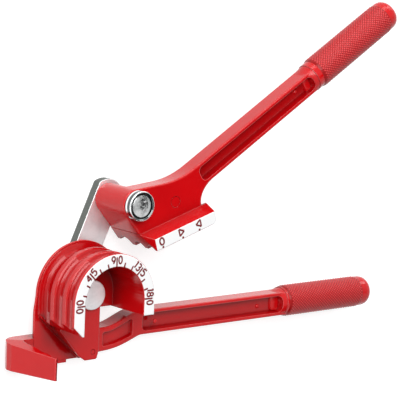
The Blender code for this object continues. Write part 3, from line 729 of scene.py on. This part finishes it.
def padMesh(name):
    rings = []
    for share in (-0.2, 0.0, 0.85, 1.0):
        shrink = pads["taper"] * (share if share < 1 else 1.8)
        x, y = pads["length"] / 2 - shrink, pads["width"] / 2 - shrink
        cut = pads["corner"]
        outline = [(x, y - cut), (x - cut, y), (cut - x, y), (-x, y - cut),
                   (-x, cut - y), (cut - x, -y), (x - cut, -y), (x, cut - y)]
        rings.append([(px, py, pads["rise"] * share) for px, py in outline])
    mesh = stackMesh(name, rings)
    mesh.shade_smooth()
    mesh.set_sharp_from_angle(angle=math.radians(30))
    return mesh


def pipMesh(name):
    rings = []
    for step in range(-1, 7):
        a = math.radians(max(step, 0) * 14)
        r, z = pads["pipRadius"] * math.cos(a), pads["pipRise"] * math.sin(a)
        z = -0.3 * mm if step < 0 else z
        rings.append([(r * math.cos(t), r * math.sin(t), z) for t in (math.tau * j / 20 for j in range(20))])
    mesh = stackMesh(name, rings)
    mesh.shade_smooth()
    return mesh


upperTurn = Matrix.Translation((*shoePin.xy, 0)) @ upperTurn
for name, make, at, floor, body in (
        ("lowerPad", padMesh, "lowerAt", "lowerFloor", "former"),
        ("lowerPip", pipMesh, "lowerPipAt", "lowerFloor", "former"),
        ("crankPip", pipMesh, "crankPipAt", "crankFace", "former"),
        ("upperPad", padMesh, "upperAt", "upperFloor", "shoe"),
        ("upperPip", pipMesh, "upperPipAt", "upperFloor", "shoe")):
    mesh = make(name)
    mesh.transform(Matrix.Translation((*pads[at], frontZ - pads[floor])))
    if body == "shoe":
        mesh.transform(upperTurn)
    addPiece(name, mesh, gripPaint, body)
print("small marks placed")


# studio: pale floor, even light, and the photograph's viewpoint

studio = {
    "floorSize": 6.0,
    "floorDiffuse": 0.5,
    "floorGlow": 0.76,
    "skyLight": 0.3,
    "skySeen": 1.0,
    "keyLamp": 34.0,
    "topLamp": 14.0,
    "sideLamp": 9.0,
    "cardGrey": 0.02,
}


def seenDirectly(tree):
    # 1 for the camera and for what gloss and glass show
    path = addNode(tree, "LightPath")
    seen = mathNode(tree, "ADD", path.outputs["Is Camera Ray"], path.outputs["Is Glossy Ray"], clamp=True)
    return mathNode(tree, "ADD", seen, path.outputs["Is Transmission Ray"], clamp=True)


def buildFloor():
    size = studio["floorSize"]
    mesh = bpy.data.meshes.new("studioFloor")
    corners = [(-size, -size, 0), (size, -size, 0), (size, size, 0), (-size, size, 0)]
    mesh.from_pydata(corners, [], [(0, 1, 2, 3)])
    floor = bpy.data.objects.new("studioFloor", mesh)
    bpy.context.scene.collection.objects.link(floor)
    material = bpy.data.materials.new("palePaper")
    material.use_nodes = True
    tree = material.node_tree
    tree.nodes.remove(tree.nodes["Principled BSDF"])
    paper = addNode(tree, "BsdfDiffuse", {"Color": (studio["floorDiffuse"],) * 3 + (1,)})
    glow = addNode(tree, "Emission", {"Strength": studio["floorGlow"]})
    both = addNode(tree, "AddShader", {0: paper.outputs[0], 1: glow.outputs[0]})
    mixed = addNode(tree, "MixShader", {0: seenDirectly(tree), 1: paper.outputs[0], 2: both.outputs[0]})
    tree.links.new(mixed.outputs[0], tree.nodes["Material Output"].inputs["Surface"])
    mesh.materials.append(material)


def buildSky():
    world = bpy.data.worlds.new("paleRoom")
    bpy.context.scene.world = world
    world.use_nodes = True
    tree = world.node_tree
    background = tree.nodes["Background"]
    background.inputs["Color"].default_value = (1, 1, 1, 1)
    strength = remap(tree, seenDirectly(tree), 0.0, 1.0, studio["skyLight"], studio["skySeen"])
    tree.links.new(strength, background.inputs["Strength"])


def addCard(name, place, size):
    # a dark card out of the picture, which bright metal mirrors
    half = size / 2
    mesh = bpy.data.meshes.new(name)
    mesh.from_pydata([(-half, -half, 0), (half, -half, 0), (half, half, 0), (-half, half, 0)], [], [(0, 1, 2, 3)])
    material = bpy.data.materials.new(name)
    material.use_nodes = True
    tree = material.node_tree
    cloth = addNode(tree, "TexNoise", {"Scale": 40.0})
    grey = studio["cardGrey"]
    colour = mixColours(tree, cloth.outputs["Fac"], (grey, grey, grey, 1), (grey / 2, grey / 2, grey / 2, 1))
    tree.links.new(colour, tree.nodes["Principled BSDF"].inputs["Base Color"])
    mesh.materials.append(material)
    card = bpy.data.objects.new(name, mesh)
    card.location = place
    card.rotation_euler = (-Vector(place)).to_track_quat("Z", "Y").to_euler()
    card.visible_camera = False
    card.visible_shadow = False
    bpy.context.scene.collection.objects.link(card)


def addLamp(name, place, target, size, power):
    data = bpy.data.lights.new(name, "AREA")
    data.shape = "RECTANGLE"
    data.size, data.size_y = size
    data.energy = power
    lamp = bpy.data.objects.new(name, data)
    lamp.location = place
    lamp.rotation_euler = (Vector(target) - Vector(place)).to_track_quat("-Z", "Y").to_euler()
    bpy.context.scene.collection.objects.link(lamp)


camera = {
    "place": (-580.0 * mm, 214.9 * mm, frontZ + 788.0 * mm),
    "azimuth": -39.0,
    "elevation": 8.957,
    "roll": 2.504,
    "lens": 158.99,
}


def addCamera():
    # the three angles are those of a camera on the tool's front side, with the scale upright
    a, e, r = (math.radians(camera[k]) for k in ("azimuth", "elevation", "roll"))
    back = Vector((math.sin(a) * math.cos(e), -math.cos(a) * math.cos(e), math.sin(e)))
    level = Vector((math.cos(a), math.sin(a), 0))
    upright = back.cross(level)
    right = level * math.cos(r) + upright * math.sin(r)
    up = upright * math.cos(r) - level * math.sin(r)
    laid = [Vector((v.x, v.z, -v.y)) for v in (right, up, back)]
    data = bpy.data.cameras.new("viewpoint")
    data.lens = camera["lens"]
    data.sensor_width = 36
    data.clip_end = 50
    eye = bpy.data.objects.new("viewpoint", data)
    turn = Matrix(laid).transposed().to_4x4()
    eye.matrix_world = Matrix.Translation(camera["place"]) @ turn
    bpy.context.scene.collection.objects.link(eye)
    bpy.context.scene.camera = eye


buildFloor()
buildSky()
addCard("leftCard", (-0.85, 0.15, 0.22), 0.4)
addCard("lowCard", (0.1, -0.6, 0.35), 0.7)
addCard("frontCard", (0.62, 0.0, 0.72), 0.36)
addLamp("keySoftbox", (-0.5, 1.0, 1.45), (0.08, 0.0, 0.0), (1.4, 1.4), studio["keyLamp"])
addLamp("topSoftbox", (0.6, 1.7, 0.5), (0.08, 0.0, 0.0), (2.4, 0.5), studio["topLamp"])
addLamp("sideSoftbox", (-1.3, -0.5, 0.3), (0.08, 0.0, 0.0), (1.0, 1.0), studio["sideLamp"])
addCamera()
bpy.context.scene.view_settings.view_transform = "Standard"
print("studio ready")
